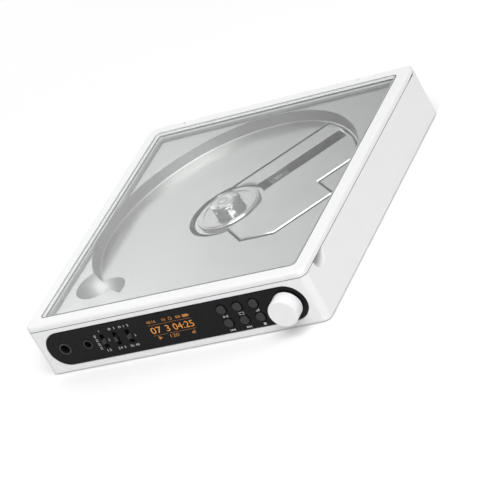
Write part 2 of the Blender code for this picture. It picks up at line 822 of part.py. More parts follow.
def make_damper(name, place, rubber, frame):
    waist = damper_radius - rest_gap
    band = damper_height * damper_band_share
    profile = [(damper_bore, 0), (damper_radius, 0), (damper_radius, band),
               (waist, damper_height / 2), (damper_radius, damper_height - band),
               (damper_radius, damper_height), (damper_bore, damper_height)]
    turned(name, profile, (*place, chassis_base - rest_gap - damper_height), "Z", rubber, frame, small_steps)


def rod_lines():
    return (("guide_rod_far", rod_far_line, rod_radius), ("guide_rod_near", -rod_near_line, rod_radius),
            ("lead_screw", -screw_line, lead_radius))


def make_drive(steel, dark, frame):
    start = rod_block_inner + rod_block_thickness - rod_stub
    length = rod_block_outer - rod_block_thickness + rod_stub - start
    for name, line, radius in rod_lines():
        rod(name, radius, (start, line, rod_height), length, "X", steel, frame, small_steps)
    motor_end = rod_block_inner - rest_gap
    profile = [(0, 0), (sled_motor_radius, 0), (sled_motor_radius, sled_motor_length),
               (0, sled_motor_length)]
    turned("sled_motor", profile, (motor_end - sled_motor_length, -screw_line, rod_height), "X",
           dark, frame, small_steps)


def make_spindle(silver, dark, steel, frame):
    motor_z = chassis_z + rest_gap
    bore = spindle_radius + shaft_gap
    motor_top = motor_z + motor_height
    floor = motor_top - motor_bore_depth
    turned("spindle_motor", [(0, motor_z), (motor_radius, motor_z), (motor_radius, motor_top),
                             (bore, motor_top), (bore, floor), (0, floor)], material=dark, parent=frame)
    rim_base = plate_base_z - rest_gap
    flange_base = rim_base - turntable_flange_height
    hub_top = turntable_z + hub_height
    profile = [(0, motor_top - spindle_depth), (spindle_radius, motor_top - spindle_depth),
               (spindle_radius, flange_base), (turntable_flange_radius, flange_base),
               (turntable_flange_radius, rim_base), (turntable_radius, rim_base),
               (turntable_radius, turntable_z - turntable_bevel),
               (turntable_radius - turntable_bevel, turntable_z),
               (disc_ring_outer, turntable_z), (disc_ring_outer, turntable_z + disc_ring_height),
               (disc_ring_inner, turntable_z + disc_ring_height), (disc_ring_inner, turntable_z),
               (hub_radius, turntable_z), (hub_radius, hub_top),
               (hub_cone_radius, hub_top + hub_cone_height), (0, hub_top + hub_cone_height)]
    turntable = turned("turntable", profile, material=silver, parent=frame, steps=fine_steps)
    ball_z = turntable_z + ball_lift
    inner = hub_radius + ball_proud - ball_radius - ball_shank
    for i in range(3):
        turn = ball_first_turn + i * 2 * math.pi / 3
        bore = rod(f"ball_bore_{i}", ball_radius + shaft_gap, (0, 0, 0), hub_radius, "X", steps=small_steps)
        bore.data.transform(Matrix.Translation((0, 0, inner - ball_travel - rest_gap)))
        ball = make_ball(f"disc_ball_{i + 1}", inner, steel)
        for item in (bore, ball):
            item.data.transform(Matrix.Rotation(math.pi / 2, 4, "Y"))
            item.parent = frame
            item.location = (0, 0, ball_z)
            item.rotation_euler = (0, 0, turn)
        cut(turntable, bore)


def make_ball(name, inner, steel):
    middle = inner + ball_shank
    dome = arc((0, middle), ball_radius, 0, math.pi / 2, 6)[:-1]
    profile = [(0, inner), (ball_radius, inner)] + dome + [(0, middle + ball_radius)]
    return add_mesh(name, lathe(profile, small_steps), steel)


def make_sled(dark, glass, frame):
    low = slot_centre - slot_width / 2 + sled_head_slack
    high = slot_centre + slot_width / 2 - sled_head_slack
    inner = lens_reach - sled_head_inner
    outer = lens_reach + sled_head_outer
    block_top = sled_block_base + sled_block_height
    near_side = -rod_near_line - sled_block_edge
    far_side = rod_far_line + sled_block_edge
    form = extrusion(rectangle(inner, outer, near_side, far_side), sled_block_base, block_top)
    sled = add_mesh("pickup_sled", form, dark, frame, smooth=False)
    head = block("sled_head", (inner + weld / 4, low, block_top - weld),
                 (outer - weld / 4, high, sled_head_z), parent=frame)
    lug = block("sled_nut", (inner + weld / 2, -screw_line - nut_edge, sled_block_base + weld / 4),
                (outer - weld / 2, -rod_near_line, block_top - weld / 4), parent=frame)
    weld_on(sled, head, lug)
    for name, line, radius in rod_lines():
        bore = rod(f"{name}_slide", radius + shaft_gap, (inner - overrun, line, rod_height),
                   outer - inner + 2 * overrun, "X", parent=frame, steps=small_steps)
        cut(sled, bore)
    lens_base = sled_head_z + lens_rise - lens_height
    cup = rod("lens_cup", lens_radius + lens_slack, (lens_reach, 0, lens_base - lens_travel - rest_gap),
              lens_height + overrun, "Z", parent=frame, steps=small_steps)
    cut(sled, cup)
    crown = lens_height - lens_rise / 2
    profile = [(0, 0), (lens_radius, 0), (lens_radius, crown), (lens_radius * lens_rim_share, crown),
               (lens_radius * lens_crown_share, lens_height - lens_rise / 8), (0, lens_height)]
    turned("pickup_lens", profile, (lens_reach, 0, lens_base), "Z", glass, frame, small_steps)


def button_places():
    for column in range(3):
        for row in range(2):
            x = button_first + column * button_pitch
            yield column, row, x, base_z + button_row_top - row * button_row_pitch


def switch_places():
    for i, name in enumerate(("left", "middle", "right")):
        yield name, switch_first + i * switch_pitch


def jack_places():
    return (("large_jack", large_jack_x, large_jack_bore, large_jack_nose, large_jack_size),
            ("small_jack", small_jack_x, small_jack_bore, small_jack_nose, small_jack_size))


def make_panel(black):
    panel = prism("front_panel", pill(panel_length, panel_height, (0, panel_middle_z)),
                  front_y, panel_back_y, "Y", black)
    low = front_y - overrun
    high = panel_back_y + overrun
    for column, row, x, z in button_places():
        hole = circle(button_radius + rest_gap, (x, z))
        cut(panel, prism(f"button_hole_{column}_{row}", hole, low, high, "Y"))
    slot_z = base_z + switch_rise
    for name, x in switch_places():
        cut(panel, prism(f"switch_slot_{name}",
                         rectangle(x - switch_slot_width / 2, x + switch_slot_width / 2,
                                   slot_z - switch_slot_height / 2, slot_z + switch_slot_height / 2),
                         low, high, "Y"))
    for name, x, bore, nose, size in jack_places():
        cut(panel, prism(f"{name}_hole", circle(nose + rest_gap, (x, base_z + jack_rise)), low, high, "Y"))
    cut(panel, prism("knob_hole", circle(bush_radius + rest_gap, (knob_x, panel_middle_z)), low, high, "Y"))
    return panel


def make_buttons(black):
    rows = ("upper", "lower")
    columns = ("left", "middle", "right")
    for column, row, x, z in button_places():
        flange_y = panel_back_y + rest_gap
        cap = flange_y - front_y + button_proud
        bevel = button_edge_round
        flange_end = -button_flange_thickness
        stem_end = flange_end - button_stem_length
        profile = [(0, stem_end), (button_stem_radius, stem_end),
                   (button_stem_radius, flange_end), (button_flange_radius, flange_end),
                   (button_flange_radius, 0), (button_radius, 0), (button_radius, cap - bevel),
                   (button_radius - bevel, cap), (0, cap)]
        turned(f"button_{rows[row]}_{columns[column]}", profile, (x, flange_y, z), "-Y", black, steps=24)


def make_switches(black, dark):
    slot_z = base_z + switch_rise
    plate_y = panel_back_y + rest_gap
    plate_end = plate_y + slider_plate_thickness
    body_y = plate_end + rest_gap
    for name, x in switch_places():
        nub = block(f"slider_nub_{name}",
                    (x - slider_width / 2, front_y - slider_proud, slot_z - slider_height / 2),
                    (x + slider_width / 2, plate_y + weld, slot_z + slider_height / 2))
        stem = block(f"slider_stem_{name}",
                     (x - slider_stem / 2, plate_end - weld, slot_z - slider_stem / 2),
                     (x + slider_stem / 2, plate_end + slider_stem_length, slot_z + slider_stem / 2))
        slider = block(f"switch_slider_{name}",
                       (x - slider_plate_width / 2, plate_y, slot_z - slider_plate_height / 2),
                       (x + slider_plate_width / 2, plate_end, slot_z + slider_plate_height / 2), black)
        weld_on(slider, nub, stem)
        body_back = front_board_y - rest_gap
        body = block(f"switch_body_{name}",
                     (x - switch_body_width / 2, body_y, slot_z - switch_body_height / 2),
                     (x + switch_body_width / 2, body_back, slot_z + switch_body_height / 2), dark)
        reach = slider_stem / 2 + slider_travel + rest_gap
        groove_end = body_y + switch_groove_depth + rest_gap
        groove = block(f"switch_groove_{name}",
                       (x - slider_stem / 2 - rest_gap, body_y - overrun, slot_z - reach),
                       (x + slider_stem / 2 + rest_gap, groove_end, slot_z + reach))
        cut(body, groove)


def make_jacks(dark):
    z = base_z + jack_rise
    for name, x, bore, nose, size in jack_places():
        body_y = pocket_back_y
        jack = block(name, (x - size / 2, body_y, z - size / 2),
                     (x + size / 2, body_y + jack_length, z + size / 2), dark)
        collar = prism(f"{name}_collar", circle(nose, (x, z)), front_y, body_y + weld, "Y")
        hole = prism(f"{name}_bore", circle(bore, (x, z)), front_y - overrun, front_y + jack_bore_depth, "Y")
        weld_on(jack, collar)
        cut(jack, hole)


def make_display(dark):
    low = panel_back_y + rest_gap
    high = low + display_thickness
    block("display_module", (display_x - display_width / 2, low, panel_middle_z - display_height / 2),
          (display_x + display_width / 2, high, panel_middle_z + display_height / 2), dark)


def make_knob(white, dark, steel):
    back = knob_gap
    face = knob_reach
    bore = volume_shaft_radius + shaft_gap
    rounding = knob_edge_round
    corner = arc((knob_radius - rounding, face - rounding), rounding, 0, math.pi / 2, 5)
    hollow = back + knob_hollow_depth
    profile = [(knob_hollow_radius, back), (knob_radius, back)] + corner + [
        (0, face), (0, face - knob_bore_end), (bore, face - knob_bore_end), (bore, hollow),
        (knob_hollow_radius, hollow)]
    turned("volume_knob", profile, (knob_x, front_y, panel_middle_z), "-Y", white, steps=fine_steps)
    shaft_end = pocket_back_y - front_y + encoder_bore_depth - rest_gap
    shaft_tip = face - knob_bore_end - rest_gap
    rod("volume_shaft", volume_shaft_radius, (knob_x, front_y + shaft_end, panel_middle_z),
        shaft_end + shaft_tip, "-Y", steel, steps=small_steps)
    encoder = prism("volume_encoder", circle(encoder_radius, (knob_x, panel_middle_z), 8),
                    pocket_back_y, front_board_y - rest_gap, "Y", dark)
    bush = prism("encoder_bush", circle(bush_radius, (knob_x, panel_middle_z)),
                 front_y - bush_proud, pocket_back_y + weld, "Y")
    hole = prism("encoder_bore", circle(bore, (knob_x, panel_middle_z), small_steps),
                 front_y - bush_proud - overrun, pocket_back_y + encoder_bore_depth, "Y")
    weld_on(encoder, bush)
    cut(encoder, hole)
    nut_radius = nut_width / math.sqrt(3)
    nut = prism("encoder_nut", circle(nut_radius, (knob_x, panel_middle_z), 6),
                front_y - rest_gap - nut_thickness, front_y - rest_gap, "Y", steel)
    thread = prism("nut_bore", circle(bush_radius + shaft_gap, (knob_x, panel_middle_z)),
                   front_y - overrun - nut_thickness - rest_gap, front_y + overrun, "Y")
    cut(nut, thread)


def make_boards(green, dark):
    front = block("front_board", (front_board_left, front_board_y, front_board_base),
                  (front_board_right, front_board_y + board_thickness, front_board_top), green)
    half = press_switch_size / 2
    for column, row, x, z in button_places():
        weld_on(front, block(f"press_switch_{column}_{row}",
                             (x - half, front_board_y - press_switch_height, z - half),
                             (x + half, front_board_y + weld, z + half)))
    board_y = middle_y + main_board_front
    board_z = main_board_base + board_thickness
    main = block("main_board", (main_board_left, board_y, main_board_base),
                 (main_board_left + main_board_width, board_y + main_board_depth, board_z), green)
    for i, (x_share, y_share, size_share) in enumerate(chip_shares):
        x = main_board_left + main_board_width * x_share
        y = board_y + main_board_depth * y_share
        size = main_board_width * size_share
        chip = block(f"chip_{i}", (x, y, board_z - weld), (x + size, y + size, board_z + chip_height))
        weld_on(main, chip)


def socket_middle_z():
    return main_board_base + board_thickness + rest_gap + socket_height / 2


def make_socket(steel):
    z = socket_middle_z()
    back = back_y - socket_length
    socket = prism("charge_socket", pill(socket_width, socket_height, (socket_x, z), 8),
                   back, back_y, "Y", steel)
    inside = prism("socket_space", pill(socket_width - 2 * socket_wall, socket_height - 2 * socket_wall,
                                        (socket_x, z), 8), back + socket_wall, back_y + overrun, "Y")
    cut(socket, inside)
    reach = socket_tongue_width / 2
    thick = socket_tongue_height / 2
    tongue = block("socket_tongue", (socket_x - reach, back + socket_wall / 2, z - thick),
                   (socket_x + reach, back + socket_tongue_length, z + thick))
    weld_on(socket, tongue)


def make_battery(blue):
    front = middle_y + battery_front
    right = battery_left + battery_width
    outline = rounded_rectangle(battery_left, right, front, front + battery_depth, battery_radius, 4)
    low = cover_z + rest_gap
    prism("battery", outline, low, low + battery_height, material=blue)


def make_ribbon(film):
    """A flat cable from the main board down to the floor, forward and up behind the front board."""
    floor = cover_z + rest_gap
    board_y = middle_y + main_board_front
    board_z = main_board_base + board_thickness + rest_gap
    front = front_board_y + board_thickness + rest_gap
    thick = ribbon_thickness
    upper = [(board_y + ribbon_overlap, board_z + thick), (board_y - rest_gap - thick, board_z + thick),
             (board_y - rest_gap - thick, floor + thick), (front + thick, floor + thick),
             (front + thick, floor + ribbon_rise)]
    lower = [(front, floor + ribbon_rise), (front, floor), (board_y - rest_gap, floor),
             (board_y - rest_gap, board_z), (board_y + ribbon_overlap, board_z)]
    left = ribbon_x - ribbon_width / 2
    prism("board_ribbon", upper + lower, left, left + ribbon_width, "X", film)


def make_player():
    white = finish("white_plastic", (0.86, 0.86, 0.87), 0.32)
    clear = finish("clear_acrylic", (0.95, 0.97, 0.97), 0.05, 0.0, 0.15)
    silver = finish("silver_paint", (0.60, 0.61, 0.61), 0.38, 0.7)
    black = finish("gloss_black", (0.012, 0.012, 0.014), 0.12)
    dark = finish("dark_plastic", (0.05, 0.05, 0.055), 0.5)
    steel = finish("bright_steel", (0.70, 0.70, 0.71), 0.22, 1.0)
    rubber = finish("grey_rubber", (0.08, 0.08, 0.08), 0.85)
    green = finish("board_green", (0.02, 0.12, 0.06), 0.5)
    blue = finish("battery_wrap", (0.04, 0.10, 0.28), 0.4)
    film = finish("ribbon_film", (0.10, 0.10, 0.11), 0.4)
    glass = finish("lens_glass", (0.16, 0.22, 0.34), 0.06)
    frame = bpy.data.objects.new("mechanism", None)
    bpy.context.collection.objects.link(frame)
    frame.location = (0, middle_y, 0)
    frame.rotation_euler = (0, 0, math.pi / 4)
    make_shell(white)
    make_bottom(white, rubber, steel)
    make_lid(white, clear)
    make_pins(steel)
    make_magnets(steel)
    make_tray(silver, frame)
    make_plate(silver, frame)
    make_chassis(dark, rubber, frame)
    make_drive(steel, dark, frame)
    make_spindle(silver, dark, steel, frame)
    make_sled(dark, glass, frame)
    make_panel(black)
    make_buttons(black)
    make_switches(black, dark)
    make_jacks(dark)
    make_display(dark)
    make_knob(white, dark, steel)
    make_boards(green, dark)
    make_socket(steel)
    make_battery(blue)
    make_ribbon(film)


clear_scene()
make_player()
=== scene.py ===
import json
import math

import bmesh
import bpy
import numpy as np
from mathutils import Matrix, Vector


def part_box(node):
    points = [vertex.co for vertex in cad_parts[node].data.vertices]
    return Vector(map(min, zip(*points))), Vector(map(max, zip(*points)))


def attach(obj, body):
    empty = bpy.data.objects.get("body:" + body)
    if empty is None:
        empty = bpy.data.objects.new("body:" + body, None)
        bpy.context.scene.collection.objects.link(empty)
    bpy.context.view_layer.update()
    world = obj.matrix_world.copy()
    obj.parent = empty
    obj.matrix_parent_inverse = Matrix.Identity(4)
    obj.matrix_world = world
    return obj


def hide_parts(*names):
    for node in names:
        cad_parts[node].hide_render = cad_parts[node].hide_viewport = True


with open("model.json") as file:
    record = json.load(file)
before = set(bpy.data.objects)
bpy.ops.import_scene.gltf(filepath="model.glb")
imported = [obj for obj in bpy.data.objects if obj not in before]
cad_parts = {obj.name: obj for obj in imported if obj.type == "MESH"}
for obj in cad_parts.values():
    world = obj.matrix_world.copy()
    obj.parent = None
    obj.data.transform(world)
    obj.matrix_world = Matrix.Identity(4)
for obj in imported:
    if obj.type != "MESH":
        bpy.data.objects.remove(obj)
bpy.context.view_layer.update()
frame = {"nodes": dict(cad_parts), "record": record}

nodes = frame["nodes"]
print("frame loaded:", len(nodes), "nodes")

mm = 0.001
shellLow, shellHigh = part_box("body_shell")
lidLow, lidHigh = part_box("lid_frame")
paneLow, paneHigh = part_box("lid_window")
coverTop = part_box("mechanism_cover")[1].z
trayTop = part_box("disc_tray")[1].z
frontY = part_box("front_panel")[0].y
spindle = (0, (shellLow.y + shellHigh.y) / 2)  # the spindle stands at the middle of the body


class Wire:
    # a node socket that +, -, * and ** can be used on, with a number before or after it
    def __init__(self, finish, socket):
        self.finish = finish
        self.socket = socket

    def __add__(self, other):
        return self.finish.maths("ADD", self, other)

    def __radd__(self, other):
        return self.finish.maths("ADD", other, self)

    def __sub__(self, other):
        return self.finish.maths("SUBTRACT", self, other)

    def __rsub__(self, other):
        return self.finish.maths("SUBTRACT", other, self)

    def __mul__(self, other):
        return self.finish.maths("MULTIPLY", self, other)

    def __rmul__(self, other):
        return self.finish.maths("MULTIPLY", other, self)

    def __pow__(self, other):
        return self.finish.maths("POWER", self, other)

    def __rpow__(self, other):
        return self.finish.maths("POWER", other, self)


class Finish:
    # the nodes of a new material, or of the world or lamp given as owner
    def __init__(self, name, owner=None):
        self.owner = owner or bpy.data.materials.new(name)
        self.owner.use_nodes = True
        self.tree = self.owner.node_tree
        self.tree.nodes.clear()
        self.place = None

    def node(self, kind, settings=None, values=None, out=0):
        # one node: its settings first, then a value or a link for each socket named
        item = self.tree.nodes.new("ShaderNode" + kind)
        for key, value in (settings or {}).items():
            setattr(item, key, value)
        for key, value in (values or {}).items():
            if isinstance(value, Wire):
                self.tree.links.new(value.socket, item.inputs[key])
            else:
                item.inputs[key].default_value = value
        if item.outputs:
            return Wire(self, item.outputs[out])

    def maths(self, operation, first, second):
        return self.node("Math", {"operation": operation}, {0: first, 1: second})

    def spot(self, shift=(0, 0, 0), turn=0.0, stretch=(1, 1, 1)):
        # object coordinates, stretched, turned and moved
        if self.place is None:
            self.place = self.node("TexCoord", out="Object")
        return self.node("Mapping", {}, {"Vector": self.place, "Location": shift,
                                         "Rotation": (0, 0, turn), "Scale": stretch})

    def fromSpindle(self):
        # how far a point is from the turntable's axis
        flat = self.spot(shift=(-spindle[0], -spindle[1], 0), stretch=(1, 1, 0))
        return self.node("VectorMath", {"operation": "LENGTH"}, {0: flat}, out="Value")

    def within(self, centre, reach):
        # 1 nearer to the centre than the reach, 0 elsewhere
        away = self.node("VectorMath", {"operation": "DISTANCE"}, {0: self.spot(), 1: centre}, out="Value")
        return self.maths("LESS_THAN", away, reach)

    def noise(self, size, detail, roughness=0.5, spot=None):
        # size is the width of one blotch in millimetres
        return self.node("TexNoise", {}, {"Vector": spot or self.spot(), "Scale": 1 / (size * mm),
                                          "Detail": detail, "Roughness": roughness})

    def blend(self, amount, first, second, mode="MIX"):
        return self.node("Mix", {"data_type": "RGBA", "blend_type": mode},
                         {0: amount, 6: first, 7: second}, out=2)

    def paintShade(self, colour, amount, share):
        # painted shade: the colour times 1 - amount * share
        keep = 1 - amount * share
        shade = self.node("CombineColor", {}, {"Red": keep, "Green": keep, "Blue": keep})
        return self.blend(1.0, colour, shade, "MULTIPLY")

    def spread(self, value, low, high):
        # value spread from 0..1 over low..high
        return value * (high - low) + low

    def bump(self, height, strength, distance):
        # distance is in millimetres
        return self.node("Bump", {}, {"Height": height, "Strength": strength, "Distance": distance * mm})

    def surface(self, **values):
        names = {"colour": "Base Color", "roughness": "Roughness", "metallic": "Metallic",
                 "normal": "Normal", "coat": "Coat Weight", "ior": "IOR", "clear": "Transmission Weight",
                 "shine": "Specular IOR Level", "glow": "Emission Color",
                 "glowStrength": "Emission Strength"}
        return self.node("BsdfPrincipled", {}, {names[key]: value for key, value in values.items()})

    def emission(self, strength):
        return self.node("Emission", {}, {"Color": rgb(1, 1, 1), "Strength": strength})

    def done(self, shader, output="OutputMaterial"):
        self.node(output, {}, {"Surface": shader})
        return self.owner


def rgb(red, green, blue):
    return (red, green, blue, 1.0)


# noises are width in millimetres, detail and at times roughness; bumps are strength and millimetres
whitePlastic = {"colour": rgb(0.87, 0.87, 0.875), "deep": rgb(0.83, 0.83, 0.84), "roughness": (0.34, 0.42),
                "cloud": (30.0, 2), "grain": (0.35, 4), "bump": (0.12, 0.02)}

# the middle of the finger notch's ball: outside the body's right side, behind its front, below the lid;
# shade is how much painted shade the notch's deepest part gets
notch = {"outside": 4.2, "behind": 15.6, "below": 0.3, "reach": 7.05, "depth": 2.8,
         "power": 1.5, "shade": 0.72}


def notchPaintedShade(finish, colour):
    # the colour with painted shade: darker towards the deepest part of the finger notch, under the lid's
    # edge
    centre = (shellHigh.x + notch["outside"] * mm, shellLow.y + notch["behind"] * mm,
              lidLow.z - notch["below"] * mm)
    across = finish.node("SeparateXYZ", {}, {"Vector": finish.spot()}, out="X")
    depth = finish.node("MapRange", {}, {"Value": across, "From Min": shellHigh.x,
                                         "From Max": shellHigh.x - notch["depth"] * mm})
    # painted shade: how much the notch's colour is darkened at each point
    dark = depth * finish.within(centre, notch["reach"] * mm)
    return finish.paintShade(colour, dark ** notch["power"], notch["shade"])


def makeWhite(name, look, paintsNotchShade=False):
    finish = Finish(name)
    grain = finish.noise(*look["grain"])
    colour = finish.blend(finish.noise(*look["cloud"]), look["colour"], look["deep"])
    return finish.done(finish.surface(
        colour=notchPaintedShade(finish, colour) if paintsNotchShade else colour,
        roughness=finish.spread(grain, *look["roughness"]),
        normal=finish.bump(grain, *look["bump"])))


# below the deck the tray is painted a shade darker and is duller from sideFrom to sideTo out from the
# spindle, and so is all that lies within scoopReach of the scoop's middle; the darker colour is painted
# shade, the dulling is roughness
silverPaint = {"colour": rgb(0.57, 0.575, 0.57), "flake": rgb(0.65, 0.655, 0.65), "flakeSize": 0.12,
               "cloud": (22.0, 2), "roughness": (0.20, 0.25), "bump": (0.08, 0.004),
               "sideFrom": 66.0, "sideTo": 67.0, "deckDrop": 0.3, "wallPaintedShade": 0.35, "sideDull": 0.12,
               "scoop": (-48.08, -44.33, 25.2), "scoopReach": 12.42, "scoopDull": 0.16}


def makeSilver(name, look):
    finish = Finish(name)
    flake = finish.node("TexVoronoi", {}, {"Vector": finish.spot(), "Scale": 1 / (look["flakeSize"] * mm)},
                        out="Color")
    glint = finish.node("SeparateColor", {}, {"Color": flake}, out="Red")
    outward = finish.node("MapRange", {}, {"Value": finish.fromSpindle(), "From Min": look["sideFrom"] * mm,
                                           "From Max": look["sideTo"] * mm})
    height = finish.node("SeparateXYZ", {}, {"Vector": finish.spot()}, out="Z")
    belowDeck = finish.maths("LESS_THAN", height, trayTop - look["deckDrop"] * mm)
    inScoop = finish.within([v * mm for v in look["scoop"]], look["scoopReach"] * mm)
    side = finish.maths("MAXIMUM", outward * belowDeck, inScoop)
    smooth = finish.spread(finish.noise(*look["cloud"]), *look["roughness"])
    return finish.done(finish.surface(
        # painted shade: the well's side and the scoop are coloured darker
        colour=finish.paintShade(finish.blend(glint, look["colour"], look["flake"]), side, look["wallPaintedShade"]),
        roughness=smooth + side * look["sideDull"] + inScoop * look["scoopDull"],
        metallic=1.0,
        normal=finish.bump(glint, *look["bump"])))


turnedMetal = {"colour": rgb(0.58, 0.585, 0.58), "bright": rgb(0.65, 0.655, 0.65), "uneven": (2.5, 3),
               "roughness": (0.09, 0.15), "ringWidth": 0.45, "bump": (0.03, 0.004)}


def makeTurned(name, look):
    # fine rings round the spindle, as a lathe leaves them
    finish = Finish(name)
    ringTurn = 2 * math.pi / (look["ringWidth"] * mm)
    ring = finish.maths("SINE", finish.fromSpindle() * ringTurn, 0) * 0.5 + 0.5
    return finish.done(finish.surface(
        colour=finish.blend(finish.noise(*look["uneven"]), look["colour"], look["bright"]),
        roughness=finish.spread(ring, *look["roughness"]),
        metallic=1.0,
        normal=finish.bump(ring, *look["bump"])))


glossBlack = {"colour": rgb(0.007, 0.007, 0.008), "dust": rgb(0.016, 0.016, 0.018),
              "roughness": (0.06, 0.12), "ior": 1.2}
capBlack = {"colour": rgb(0.010, 0.010, 0.011), "dust": rgb(0.022, 0.022, 0.024),
            "roughness": (0.18, 0.28), "ior": 1.45}
blackNoise = {"haze": (14.0, 3), "speck": (0.5, 2), "speckPower": 3.0}


def makeBlack(name, look):
    finish = Finish(name)
    speck = finish.noise(*blackNoise["speck"]) ** blackNoise["speckPower"]
    return finish.done(finish.surface(
        colour=finish.blend(speck, look["colour"], look["dust"]),
        roughness=finish.spread(finish.noise(*blackNoise["haze"]), *look["roughness"]),
        ior=look["ior"]))


moulded = {
    "dark": {"colour": rgb(0.045, 0.045, 0.048), "deep": rgb(0.03, 0.03, 0.032), "roughness": (0.45, 0.6)},
    "rubber": {"colour": rgb(0.09, 0.09, 0.09), "deep": rgb(0.06, 0.06, 0.06), "roughness": (0.75, 0.95)},
    "wrap": {"colour": rgb(0.05, 0.11, 0.30), "deep": rgb(0.03, 0.08, 0.22), "roughness": (0.3, 0.45)},
    "film": {"colour": rgb(0.10, 0.10, 0.11), "deep": rgb(0.07, 0.07, 0.08), "roughness": (0.3, 0.45)},
    "jack": {"colour": rgb(0.012, 0.012, 0.013), "deep": rgb(0.008, 0.008, 0.009),
             "roughness": (0.35, 0.45)}}
mouldedNoise = {"cloud": (9.0, 2), "grit": (0.3, 5, 0.6), "bump": (0.25, 0.03)}


def makeMoulded(name, look):
    finish = Finish(name)
    grit = finish.noise(*mouldedNoise["grit"])
    return finish.done(finish.surface(
        colour=finish.blend(finish.noise(*mouldedNoise["cloud"]), look["colour"], look["deep"]),
        roughness=finish.spread(grit, *look["roughness"]),
        normal=finish.bump(grit, *mouldedNoise["bump"])))


steel = {"colour": rgb(0.62, 0.62, 0.63), "bright": rgb(0.74, 0.74, 0.75), "roughness": (0.16, 0.3),
         "drawn": (0.25, 3, 0.5), "drawnTurn": 45, "drawnStretch": (0.05, 1, 1)}


def makeSteel(name, look):
    # streaks drawn out along one way
    finish = Finish(name)
    along = finish.spot(turn=math.radians(look["drawnTurn"]), stretch=look["drawnStretch"])
    drawn = finish.noise(*look["drawn"], along)
    return finish.done(finish.surface(
        colour=finish.blend(drawn, look["colour"], look["bright"]),
        roughness=finish.spread(drawn, *look["roughness"]),
        metallic=1.0))


boardGreen = {"mask": rgb(0.02, 0.13, 0.06), "track": rgb(0.05, 0.24, 0.11), "pitch": 1.1, "gapShare": 0.03,
              "shiftShare": 0.35, "cloud": (4.0, 3), "roughness": (0.35, 0.5), "bump": (0.2, 0.02)}


def makeBoard(name, look):
    # tracks show as straight bands under the green mask
    finish = Finish(name)
    bands = finish.node("TexBrick", {"offset": look["shiftShare"]},
                        {"Vector": finish.spot(), "Scale": 1 / (look["pitch"] * mm),
                         "Mortar Size": look["gapShare"]}, out="Fac")
    return finish.done(finish.surface(
        colour=finish.blend(bands, look["mask"], look["track"]),
        roughness=finish.spread(finish.noise(*look["cloud"]), *look["roughness"]),
        normal=finish.bump(bands, *look["bump"])))


clearPane = {"tint": rgb(0.985, 0.995, 0.99), "ior": 1.49, "smear": (25.0, 3), "roughness": (0.0, 0.012),
             "through": rgb(0.97, 0.98, 0.975)}


def makeClear(name, look):
    # clear acrylic that lets the lamps' light straight through
    finish = Finish(name)
    pane = finish.surface(colour=look["tint"], ior=look["ior"], clear=1.0,
                          roughness=finish.spread(finish.noise(*look["smear"]), *look["roughness"]))
    toLamp = finish.node("LightPath", out="Is Shadow Ray")
    through = finish.node("BsdfTransparent", {}, {"Color": look["through"]})
    return finish.done(finish.node("MixShader", {}, {0: toLamp, 1: pane, 2: through}))


lensGlass = {"colour": rgb(0.03, 0.035, 0.045), "rim": rgb(0.045, 0.045, 0.05), "cloud": (1.2, 2),
             "roughness": (0.02, 0.06)}


def makeLens(name, look):
    finish = Finish(name)
    cloud = finish.noise(*look["cloud"])
    return finish.done(finish.surface(
        colour=finish.blend(cloud, look["colour"], look["rim"]),
        roughness=finish.spread(cloud, *look["roughness"]),
        coat=1.0))


displayGlow = {"colour": rgb(0.80, 0.31, 0.04), "dim": rgb(0.62, 0.22, 0.02), "cells": (0.4, 1),
               "unlit": rgb(0.02, 0.01, 0.0), "roughness": 0.4, "strength": 0.95}
smallGlow = {**displayGlow, "strength": 0.6}
printInk = {"colour": rgb(0.62, 0.62, 0.62), "dim": rgb(0.42, 0.42, 0.42), "wear": (0.6, 3),
            "roughness": 0.5}


def makeGlow(name, look):
    finish = Finish(name)
    light = finish.blend(finish.noise(*look["cells"]), look["colour"], look["dim"])
    return finish.done(finish.surface(colour=look["unlit"], roughness=look["roughness"], glow=light,
                                      glowStrength=look["strength"]))


def makeInk(name, look):
    finish = Finish(name)
    worn = finish.blend(finish.noise(*look["wear"]), look["colour"], look["dim"])
    return finish.done(finish.surface(colour=worn, roughness=look["roughness"]))


finishes = {
    "white_plastic": makeWhite("white plastic", whitePlastic),
    "clear_acrylic": makeClear("clear acrylic", clearPane),
    "silver_paint": makeSilver("silver paint", silverPaint),
    "gloss_black": makeBlack("gloss black", glossBlack),
    "dark_plastic": makeMoulded("dark plastic", moulded["dark"]),
    "bright_steel": makeSteel("plated steel", steel),
    "grey_rubber": makeMoulded("grey rubber", moulded["rubber"]),
    "board_green": makeBoard("circuit board", boardGreen),
    "battery_wrap": makeMoulded("battery wrap", moulded["wrap"]),
    "ribbon_film": makeMoulded("ribbon film", moulded["film"]),
    "lens_glass": makeLens("coated lens", lensGlass),
}
turned = makeTurned("turned metal", turnedMetal)
barrel = makeMoulded("jack barrel", moulded["jack"])
glow = makeGlow("display glow", displayGlow)
fineGlow = makeGlow("display fine glow", smallGlow)
ink = makeInk("printed marks", printInk)

# pieces that don't take the finish of their slot, by how their names start
# the shell's white has painted shade in its finger notch
ownFinish = {"body_shell": makeWhite("white shell with painted notch shade", whitePlastic, True), "turntable": turned,
             "button_": makeBlack("button black", capBlack), "large_jack": barrel, "small_jack": barrel,
             "switch_slider_": barrel}
print("finishes made")


slotOf = {part["node"]: part["material_slot"] for part in frame["record"]["subparts"]}
bodies = frame["record"]["behaviour"]["bodies"]
bodyOf = {member: body for body, members in bodies.items() for member in members}

# how far each piece's sharp edges are eased, in millimetres
easing = {"body_shell": 0.12, "lid_frame": 0.12, "lid_window": 0.15, "front_panel": 0.1, "volume_knob": 0.12,
          "disc_tray": 0.06, "mechanism_cover": 0.1, "turntable": 0.12}
